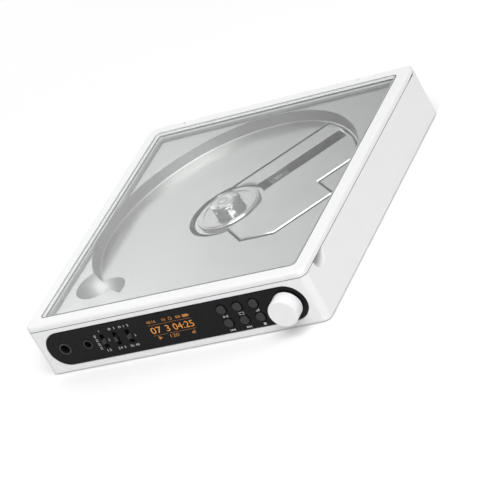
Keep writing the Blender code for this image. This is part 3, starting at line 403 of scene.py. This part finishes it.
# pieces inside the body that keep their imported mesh
plain = ("front_board", "main_board", "display_module", "board_ribbon", "shell_magnet", "lid_magnet",
         "switch_body_left", "switch_body_middle", "switch_body_right")
# angles in degrees and the weld in millimetres
mending = {"weld": 0.0005, "level": 0.5, "eased": 40, "sharp": 38, "faceWeight": 100}


def finishOf(name):
    for start, material in ownFinish.items():
        if name.startswith(start):
            return material
    return finishes[slotOf[name]]


def easedCopy(name):
    # the node's own faces, merged and joined where they are level, with its sharp edges rounded over
    work = bmesh.new()
    work.from_mesh(nodes[name].data)
    bmesh.ops.remove_doubles(work, verts=work.verts, dist=mending["weld"] * mm)
    bmesh.ops.dissolve_limit(work, angle_limit=math.radians(mending["level"]), verts=work.verts,
                             edges=work.edges)
    if name in easing:
        corners = [e for e in work.edges
                   if e.is_manifold and e.calc_face_angle(0) > math.radians(mending["eased"])]
        bmesh.ops.bevel(work, geom=corners, offset=easing[name] * mm, segments=2, profile=0.5,
                        affect="EDGES", clamp_overlap=False)
    mesh = bpy.data.meshes.new(name + "_finished")
    work.to_mesh(mesh)
    work.free()
    piece = shown(name + "_finished", mesh, mending["sharp"])
    level = piece.modifiers.new("level faces", "WEIGHTED_NORMAL")
    level.mode = "FACE_AREA"
    level.weight = mending["faceWeight"]
    level.keep_sharp = True
    return piece


def shown(name, mesh, smooth):
    # an object of the mesh, shaded smooth up to the angle in degrees
    mesh.shade_smooth()
    mesh.set_sharp_from_angle(angle=math.radians(smooth))
    piece = bpy.data.objects.new(name, mesh)
    bpy.context.scene.collection.objects.link(piece)
    return piece


def dress(piece, material):
    piece.data.materials.clear()
    piece.data.materials.append(material)


for name, node in nodes.items():
    dress(node, finishOf(name))
    if name not in plain:
        copy = easedCopy(name)
        dress(copy, finishOf(name))
        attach(copy, bodyOf[name])
        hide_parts(name)
print("packed pieces finished")


def gridPiece(name, grid, material, body, wrap, smooth=40):
    # grid[i, j] is a point; neighbours are joined into four-sided faces, and wrap says whether the last row
    # and the last column are joined to the first
    rows, columns = grid.shape[:2]
    i = np.arange(rows if wrap[0] else rows - 1)[:, None]
    j = np.arange(columns if wrap[1] else columns - 1)[None, :]
    nextRow = (i + 1) % rows * columns
    nextColumn = (j + 1) % columns
    corners = [i * columns + j, i * columns + nextColumn, nextRow + nextColumn, nextRow + j]
    faces = np.stack(corners, axis=-1).reshape(-1, 4)
    mesh = bpy.data.meshes.new(name)
    mesh.from_pydata(grid.reshape(-1, 3).tolist(), [], faces.tolist())
    finishPiece(name, mesh, material, body, smooth)


def finishPiece(name, mesh, material, body, smooth):
    # the mesh welded, without faces of no size and with its faces turned outward
    work = bmesh.new()
    work.from_mesh(mesh)
    bmesh.ops.remove_doubles(work, verts=work.verts, dist=mending["weld"] * mm)
    bmesh.ops.dissolve_degenerate(work, edges=work.edges, dist=mending["weld"] * mm)
    bmesh.ops.recalc_face_normals(work, faces=work.faces)
    work.to_mesh(mesh)
    work.free()
    piece = shown(name, mesh, smooth)
    dress(piece, material)
    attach(piece, body)


def revolved(profile, centre, steps=96):
    # each profile point (radius, height) goes once round the upright line through the centre
    turn = np.linspace(0, 2 * np.pi, steps, endpoint=False)
    radius, height = np.asarray(profile, float).T
    return np.stack([centre[0] + radius[:, None] * np.cos(turn), centre[1] + radius[:, None] * np.sin(turn),
                     np.broadcast_to(height[:, None], (len(radius), steps))], axis=-1)


def closedEnds(grid):
    # a tube of rings, with its first and last ring drawn in to their middles
    first, last = [np.repeat(grid[k].mean(axis=0)[None, None], grid.shape[1], axis=1) for k in (0, -1)]
    return np.concatenate([first, grid, last])


def swept(path, width, thickness, across):
    # a strip of constant section: the path is a line of points, across is the strip's sideways direction
    path = np.asarray(path, float)
    run = np.gradient(path, axis=0)
    run /= np.linalg.norm(run, axis=1)[:, None]
    across = np.asarray(across, float) / np.linalg.norm(across)
    lift = np.cross(run, across)
    section = [(-1, -1), (1, -1), (1, 1), (-1, 1)]
    lines = [path + across * (a * width / 2) + lift * (b * thickness / 2) for a, b in section]
    return closedEnds(np.stack(lines, axis=1))


def smoothed(points, steps=4):
    # an even curve through the points, each span a cubic fixed by its four nearest points
    p = np.asarray(points, float)
    p = np.concatenate([2 * p[:1] - p[1:2], p, 2 * p[-1:] - p[-2:-1]])
    t = np.linspace(0, 1, steps, endpoint=False)[None, :, None]
    a, b, c, d = p[:-3, None], p[1:-2, None], p[2:-1, None], p[3:, None]
    bend = (2 * a - 5 * b + 4 * c - d) * t ** 2 + (3 * b - a - 3 * c + d) * t ** 3
    spans = 0.5 * (2 * b + (c - a) * t + bend)
    return np.concatenate([spans.reshape(-1, 3), p[-2:-1]])


def bead(centre, radius, steps=14):
    # a ball: rings at even angles from pole to pole
    rise = np.linspace(-np.pi / 2, np.pi / 2, steps // 2 + 1)
    profile = np.column_stack([radius * np.cos(rise), centre[2] + radius * np.sin(rise)])
    return revolved(profile, centre[:2], steps)


# points are radius, then height over the mechanism cover; the cap's top has a fine groove round its middle
hub = {"cap": [(0, 4.34), (4.6, 4.34), (5.6, 3.1), (7.15, 3.1), (7.25, 3.2), (7.25, 4.3), (7.1, 4.45),
               (2.4, 4.45), (2.3, 4.4), (2.1, 4.4), (2.0, 4.45), (0, 4.45)],
       "band": [(7.05, 1.8), (7.2, 1.8), (7.2, 1.95), (7.05, 1.95)],
       "claw": [(5.0, 4.55), (6.4, 4.65), (7.3, 4.4), (7.6, 3.5), (7.65, 2.4), (7.6, 1.3), (7.3, 0.5)],
       "clawCount": 3, "clawTurn": 135, "clawWidth": 1.9, "clawThickness": 0.35,
       "nub": (7.85, 2.6), "nubRadius": 0.55}


def hubPiece(name, grid, wrap, smooth):
    gridPiece(name, grid, turned, "spinner", wrap, smooth)


def hubPoint(outward, radius, height):
    # a point this far from the spindle along outward and this high over the mechanism cover
    return np.array([*spindle, coverTop]) + (outward * radius + (0, 0, height)) * mm


def hubPieces():
    cap, band = [np.array(hub[name]) * mm + (0, coverTop) for name in ("cap", "band")]
    hubPiece("hub_cap", revolved(cap, spindle), (False, True), smooth=50)
    hubPiece("hub_band", revolved(band, spindle), (True, True), smooth=40)
    for i in range(hub["clawCount"]):
        angle = math.radians(hub["clawTurn"]) + 2 * math.pi * i / hub["clawCount"]
        outward = np.array([math.cos(angle), math.sin(angle), 0])
        sideways = np.array([-math.sin(angle), math.cos(angle), 0])
        line = smoothed([hubPoint(outward, *point) for point in hub["claw"]])
        strip = swept(line, hub["clawWidth"] * mm, hub["clawThickness"] * mm, sideways)
        nub = bead(hubPoint(outward, *hub["nub"]), hub["nubRadius"] * mm)
        hubPiece(f"hub_claw_{i + 1}", strip, (False, True), smooth=50)
        hubPiece(f"hub_nub_{i + 1}", nub, (False, True), smooth=60)


hubPieces()
print("hub finished")


def quarter(x, y, radius, k, steps=8):
    # the k-th quarter of a circle round x, y, counted from the right towards the back
    turn = (k + np.linspace(0, 1, steps + 1)) * np.pi / 2
    return np.stack([x + radius * np.cos(turn), y + radius * np.sin(turn)], axis=-1)


def levelled(loop, z):
    # the flat loop at height z
    return np.column_stack([loop, np.full(len(loop), z)])


# the seal fills the gap round the pane, and a dark line lies over it and a little way onto the pane; that
# line and the dark line at the tape's inner edge are painted shade standing for the shadow in the gaps, and
# the line and dark looks are their colours
glazing = {
    "sealWidth": 0.26, "sealTop": 0.2, "sealBase": 2.3, "onPane": 0.22, "lineLift": 0.02, "slack": 0.02,
    "tapeHeight": 0.26, "tapeWidth": 1.6, "tapeLine": 0.12, "tapeLineBase": 0.05,
    "cornerRadius": 2.2, "leastRadius": 0.6,
    "grey": {"colour": rgb(0.70, 0.705, 0.705), "deep": rgb(0.66, 0.665, 0.665), "roughness": (0.4, 0.5)},
    "line": {"colour": rgb(0.12, 0.12, 0.12), "deep": rgb(0.10, 0.10, 0.10), "roughness": (0.5, 0.6)},
    "dark": {"colour": rgb(0.05, 0.05, 0.052), "deep": rgb(0.035, 0.035, 0.036), "roughness": (0.4, 0.55)}}


def roundedLoop(margin):
    # a rectangle inset by the margin from the pane's edges, each corner a quarter circle
    radius = max(glazing["cornerRadius"] - margin, glazing["leastRadius"]) * mm
    inset = margin * mm + radius
    left, right = paneLow.x + inset, paneHigh.x - inset
    front, back = paneLow.y + inset, paneHigh.y - inset
    middles = [(right, back), (left, back), (left, front), (right, front)]
    return np.concatenate([quarter(x, y, radius, k) for k, (x, y) in enumerate(middles)])


def frameRing(name, outer, inner, low, high, material):
    # a flat frame between two rounded loops, from the low level to the high one
    corners = ((outer, low), (inner, low), (inner, high), (outer, high))
    grid = np.stack([levelled(roundedLoop(margin), z) for margin, z in corners])
    gridPiece(name, grid, material, "lid", (True, True))


def glazePaneWithShadeLines():
    # grey tape under the pane's edge with a dark line inside it, and the grey seal with its dark line; both
    # dark lines are painted shade where the gaps fall in shadow
    grey = makeMoulded("grey tape", glazing["grey"])
    dark = makeMoulded("painted tape shade line", glazing["dark"])
    line = makeMoulded("painted seal shade line", glazing["line"])
    slack, tape = glazing["slack"], glazing["tapeWidth"]
    edge = glazing["sealWidth"] + slack
    floor = lidHigh.z - glazing["sealBase"] * mm
    top = lidHigh.z - glazing["sealTop"] * mm
    tapeTop = floor + glazing["tapeHeight"] * mm
    frameRing("window_seal", -edge, -slack, floor, top, grey)
    # painted shade: a dark line over the seal's gap
    frameRing("window_seal_shade_line", -edge, glazing["onPane"], top, paneHigh.z + glazing["lineLift"] * mm, line)
    frameRing("window_tape", slack, tape, floor, tapeTop, grey)
    # painted shade: a dark line at the tape's inner edge, where the lip's edge shades the deck
    frameRing("window_tape_shade_line", tape + slack, tape + glazing["tapeLine"],
              lidLow.z + glazing["tapeLineBase"] * mm, tapeTop, dark)


# outer and inner are how far in from the lid's edge the strip lies, and backStop is how far from the back
# it ends
seam = {"gap": 0.3, "slack": 0.04, "outer": 0.06, "inner": 0.9, "corner": 3.5, "backStop": 5.0}


def seamLine(margin):
    # the lid's outline inset by the margin, from the back of the left side round the front to the right
    radius = (seam["corner"] - margin) * mm
    left, right = lidLow.x + margin * mm, lidHigh.x - margin * mm
    middle = lidLow.y + margin * mm + radius
    back = lidHigh.y - seam["backStop"] * mm
    return np.concatenate([[(left, back)], quarter(left + radius, middle, radius, 2),
                           quarter(right - radius, middle, radius, 3), [(right, back)]])


def seamShadeStrip():
    # a dark strip bedded on the body's rim, seen as a thin line between the body and the lid: painted shade
    # standing for the shadow in the seam
    top = lidLow.z - seam["slack"] * mm
    base = lidLow.z - (seam["gap"] - seam["slack"]) * mm
    corners = ((seam["outer"], base), (seam["inner"], base), (seam["inner"], top), (seam["outer"], top))
    grid = np.stack([levelled(seamLine(margin), z) for margin, z in corners], axis=1)
    gridPiece("rim_shade_strip", closedEnds(grid), makeMoulded("painted seam shade", glazing["dark"]),
              "case", (False, True))


glazePaneWithShadeLines()
seamShadeStrip()
print("pane and rim sealed")


# marks are placed by x from the body's left side and z from its underside, in millimetres
markLift = {"shapes": 0.02, "figures": 0.03}


def panelPoint(x, z):
    return np.array([shellLow.x + x * mm, frontY, shellLow.z + z * mm])


def plates(outlines):
    # flat shapes of the same number of corners, given as (x, z) lines, each raised into a thin closed plate
    shapes = np.asarray(outlines, float)
    count, corners = shapes.shape[:2]
    origin = panelPoint(0, 0)
    back = np.stack([origin[0] + shapes[..., 0] * mm, np.full((count, corners), frontY),
                     origin[2] + shapes[..., 1] * mm], axis=-1)
    face = back - (0, markLift["shapes"] * mm, 0)
    verts = np.concatenate([face, back], axis=1).reshape(-1, 3)
    start = np.arange(count) * corners * 2
    ring = np.arange(corners)
    flats = [(s + ring).tolist() for s in np.concatenate([start, start + corners])]
    sides = np.stack([ring, (ring + 1) % corners, (ring + 1) % corners + corners, ring + corners], axis=-1)
    mesh = bpy.data.meshes.new("plates")
    mesh.from_pydata(verts.tolist(), [], flats + (start[:, None, None] + sides).reshape(-1, 4).tolist())
    return mesh


def bars(lines, width):
    # each (x0, z0, x1, z1) line as a plate of the given width
    ends = np.asarray(lines, float).reshape(-1, 2, 2)
    run = ends[:, 1] - ends[:, 0]
    side = np.stack([-run[:, 1], run[:, 0]], axis=-1) / np.linalg.norm(run, axis=1)[:, None] * width / 2
    corners = [ends[:, 0] - side, ends[:, 1] - side, ends[:, 1] + side, ends[:, 0] + side]
    return plates(np.stack(corners, axis=1))


def circleLine(x, z, radius, steps=14):
    # a circle as short straight lines from point to point
    turn = np.linspace(0, 2 * np.pi, steps + 1)
    ring = np.stack([x + radius * np.cos(turn), z + radius * np.sin(turn)], axis=-1)
    return np.concatenate([ring[:-1], ring[1:]], axis=1)


def figures(text, x, z, height, width=None, upright=True):
    # plain figures whose lower left corner is at x, z, drawn out to the width asked for
    curve = bpy.data.curves.new("figures", "FONT")
    curve.body = text
    curve.size = 1.0
    curve.extrude = 0.01  # only parts the front from the back, which are then set to their depths
    holder = bpy.data.objects.new("figures", curve)
    bpy.context.scene.collection.objects.link(holder)
    bpy.context.view_layer.update()
    mesh = bpy.data.meshes.new_from_object(holder.evaluated_get(bpy.context.evaluated_depsgraph_get()))
    bpy.data.objects.remove(holder)
    co = np.zeros(len(mesh.vertices) * 3)
    mesh.vertices.foreach_get("co", co)
    co = co.reshape(-1, 3)
    flat = co[:, :2] - co[:, :2].min(axis=0)
    size = flat.max(axis=0)
    scale = height / size[1]
    flat *= (scale if width is None else width / size[0], scale)
    if not upright:
        flat = np.stack([-flat[:, 1], flat[:, 0]], axis=-1)
    depth = np.where(co[:, 2] > 0, -markLift["figures"], 0.0)
    place = panelPoint(x, z) + np.column_stack([flat[:, 0], depth, flat[:, 1]]) * mm
    mesh.vertices.foreach_set("co", place.ravel())
    mesh.update()
    return mesh


def joined(name, meshes, material):
    # one piece on the front panel from many meshes
    work = bmesh.new()
    for mesh in meshes:
        work.from_mesh(mesh)
        bpy.data.meshes.remove(mesh)
    mesh = bpy.data.meshes.new(name)
    work.to_mesh(mesh)
    work.free()
    finishPiece(name, mesh, material, "case", smooth=30)


# rows of figures, each figure with its x and width, and signs as lines with a width or as flat shapes
display = {
    "bigRow": {"z": 10.8, "height": 3.4,
               "figures": (("07", 62.8, 5.6), ("3", 70.8, 2.0), ("04:25", 74.8, 10.9))},
    "topRow": {"z": 16.5, "height": 1.4,
               "figures": (("48", 62.8, 2.2), ("16", 65.8, 2.0), ("10", 71.2, 1.9), ("88", 78.6, 2.6))},
    "lowRow": {"z": 7.3, "height": 1.7, "figures": (("120", 71.0, 4.6),)},
    "lines": (([(82.2, 17.2, 85.2, 17.2)], 1.4), ([(85.2, 17.2, 85.7, 17.2)], 0.6),
              (circleLine(75.6, 17.2, 0.8), 0.25), ([(84.2, 7.3, 84.2, 8.9)], 0.3)),
    "shapes": [[(64.8, 7.2), (66.8, 8.2), (64.8, 9.2)], [(82.2, 7.6), (83.6, 8.7), (83.6, 7.0)]],
    "rules": [(62.7, 9.75, 70.3, 9.75), (71.3, 9.75, 85.7, 9.75), (62.7, 15.45, 85.7, 15.45)],
    "ruleWidth": 0.1}


def figureRow(row):
    return [figures(text, x, row["z"], row["height"], width) for text, x, width in row["figures"]]


def displayMarks():
    small = figureRow(display["topRow"]) + figureRow(display["lowRow"])
    small += [bars(lines, width) for lines, width in display["lines"]] + [plates(display["shapes"])]
    joined("display_figures", figureRow(display["bigRow"]), glow)
    joined("display_small_figures", small, fineGlow)
    joined("display_rules", [bars(display["rules"], display["ruleWidth"])], fineGlow)


# numbers at the switches, each with its x, z and width, or none where it keeps its own width, and a column
# of them that reads upward
switchMarks = {"height": 1.15, "column": ("10 20 30 40", 34.1, 8.3, 8.0),
               "figures": (("1", 37.0, 17.5, None), ("0 1", 42.2, 17.5, 3.5), ("0 1 2", 48.0, 17.5, 5.6),
                           ("12", 35.8, 6.6, 2.3), ("24 3", 41.8, 6.6, 4.2), ("36 48", 48.4, 6.6, 5.0),
                           ("2", 39.4, 12.0, None), ("3", 53.7, 11.7, None))}


def switchFigures():
    height = switchMarks["height"]
    text, x, z, width = switchMarks["column"]
    marks = [figures(text, x, z, height, width, upright=False)]
    marks += [figures(text, x, z, height, width) for text, x, z, width in switchMarks["figures"]]
    joined("panel_figures", marks, ink)


# where the signs under the buttons stand: the x of each column, and the z of each row with its signs
signPlaces = {"columns": (102.6, 110.95, 119.3),
              "rows": ((12.28, ("play", "repeat", "level")), (4.8, ("back", "forward", "stop")))}

# each sign round a middle at 0, 0, as flat shapes and as lines of one width
tall = 0.62
wide = 1.1
skip = {"shapes": [[(-0.1, 0), (-1.15, tall), (-1.15, -tall)], [(1.0, 0), (-0.05, tall), (-0.05, -tall)]],
        "lines": [(1.25, -tall, 1.25, tall)], "width": 0.25}
signs = {
    "play": {"shapes": [[(-wide, -tall), (0.1, 0), (-wide, tall)]],
             "lines": [(0.6, -tall, 0.6, tall), (1.15, -tall, 1.15, tall)], "width": 0.28},
    "repeat": {"lines": [(-wide, -tall, wide, -tall), (-wide, tall, wide, tall),
                         (-wide, -tall, -wide, tall), (wide, -tall, wide, tall)], "width": 0.22},
    "level": {"lines": [(-0.7, -tall, -0.7, -0.12), (0, -tall, 0, 0.25), (0.7, -tall, 0.7, tall)],
              "width": 0.4},
    "forward": skip,
    "back": {"shapes": np.array(skip["shapes"]) * (-1, 1), "lines": np.array(skip["lines"]) * (-1, 1, -1, 1),
             "width": skip["width"]},
    "stop": {"lines": [(-tall, 0, tall, 0)], "width": 2 * tall}}


def buttonSigns():
    meshes = []
    for z, row in signPlaces["rows"]:
        for x, name in zip(signPlaces["columns"], row):
            if "shapes" in signs[name]:
                meshes.append(plates(np.array(signs[name]["shapes"]) + (x, z)))
            meshes.append(bars(np.array(signs[name]["lines"]) + (x, z, x, z), signs[name]["width"]))
    joined("button_signs", meshes, ink)


displayMarks()
switchFigures()
buttonSigns()
print("panel marked")


# the camera's place in millimetres and its own three directions, solved from the photo's edges
camera = {"place": (694.16, -937.14, 562.56), "right": (0.82371, 0.34077, -0.45318),
          "up": (0.18124, 0.59909, 0.77990), "back": (0.53726, -0.72455, 0.43172),
          "lens": 211.58, "sensor": 36, "near": 50}


def makeCamera():
    data = bpy.data.cameras.new("camera")
    data.sensor_width = camera["sensor"]
    data.lens = camera["lens"]
    data.clip_start = camera["near"] * mm
    holder = bpy.data.objects.new("camera", data)
    turn = Matrix((camera["right"], camera["up"], camera["back"])).transposed()
    holder.matrix_world = Matrix.Translation(Vector(camera["place"]) * mm) @ turn.to_4x4()
    bpy.context.scene.collection.objects.link(holder)
    bpy.context.scene.camera = holder


# the size is in metres; seenColour is what the camera sees and colour what the part mirrors
floorLook = {"size": 8.0, "colour": rgb(0.84, 0.84, 0.84), "seenColour": rgb(0.88, 0.88, 0.88),
             "speck": rgb(0.8, 0.8, 0.8), "speckShare": 0.02, "grain": (6.0, 2), "roughness": 0.9,
             "lift": 0.09}


def makeFloor():
    # a pale floor whose own faint glow lifts it to white where nothing shades it
    half = floorLook["size"] / 2
    mesh = bpy.data.meshes.new("floor")
    corners = [(-half, -half, 0), (half, -half, 0), (half, half, 0), (-half, half, 0)]
    mesh.from_pydata(corners, [], [(0, 1, 2, 3)])
    floor = bpy.data.objects.new("floor", mesh)
    bpy.context.scene.collection.objects.link(floor)
    finish = Finish("pale floor")
    grain = finish.spread(finish.noise(*floorLook["grain"]), 1 - floorLook["speckShare"], 1)
    seen, mirrored, passed = [finish.node("LightPath", out=f"Is {ray} Ray")
                              for ray in ("Camera", "Glossy", "Transmission")]
    pale = finish.blend(seen, floorLook["colour"], floorLook["seenColour"])
    matt = finish.surface(colour=finish.blend(grain, floorLook["speck"], pale),
                          roughness=floorLook["roughness"], shine=0.0)
    lit = finish.maths("MAXIMUM", finish.maths("MAXIMUM", seen, mirrored), passed)
    lift = finish.emission(lit * floorLook["lift"])
    dress(floor, finish.done(finish.node("AddShader", {}, {0: matt, 1: lift})))


worldLook = {"strength": 0.32, "colour": rgb(1, 1, 1)}


def makeWorld():
    world = bpy.data.worlds.new("studio")
    bpy.context.scene.world = world
    finish = Finish("studio", world)
    light = finish.node("Background", {}, {"Color": worldLook["colour"], "Strength": worldLook["strength"]})
    finish.done(light, "OutputWorld")


# each lamp's place and aim in metres, its width and height, its power in watts and how it fades across
lamps = {
    "key": {"place": (0.70, -0.71, 1.26), "aim": (0, 0, 0), "size": (1.3, 2.0), "power": 21.5},
    "top": {"place": (0.0, 0.0, 1.3), "aim": (0, 0, 0), "size": (1.9, 1.9), "power": 6.6},
    "backLeft": {"place": (-0.456, 0.616, 0.385), "aim": (0, 0, 0.02), "size": (0.8, 0.55), "power": 1.38,
                 "fade": (0.15, 1.85)},
}


def fadeAcross(data, start, slope):
    # no light up to the start share of the lamp's width, and evenly more from there to the other edge
    finish = Finish(data.name, data)
    place = finish.node("NewGeometry", out="Parametric")
    across = finish.node("SeparateXYZ", {}, {"Vector": place}, out="X")
    finish.done(finish.emission(finish.maths("MAXIMUM", (across - start) * slope, 0.0)), "OutputLight")


def makeLamps():
    for name, lamp in lamps.items():
        data = bpy.data.lights.new(name, "AREA")
        data.shape = "RECTANGLE"
        data.size, data.size_y = lamp["size"]
        data.energy = lamp["power"]
        if "fade" in lamp:
            fadeAcross(data, *lamp["fade"])
        holder = bpy.data.objects.new(name, data)
        holder.visible_camera = False
        holder.location = lamp["place"]
        aim = Vector(lamp["aim"]) - Vector(lamp["place"])
        holder.rotation_euler = aim.to_track_quat("-Z", "Y").to_euler()
        bpy.context.scene.collection.objects.link(holder)


makeCamera()
makeFloor()
makeWorld()
makeLamps()
bpy.context.scene.view_settings.view_transform = "Standard"
print("camera, floor and light set")
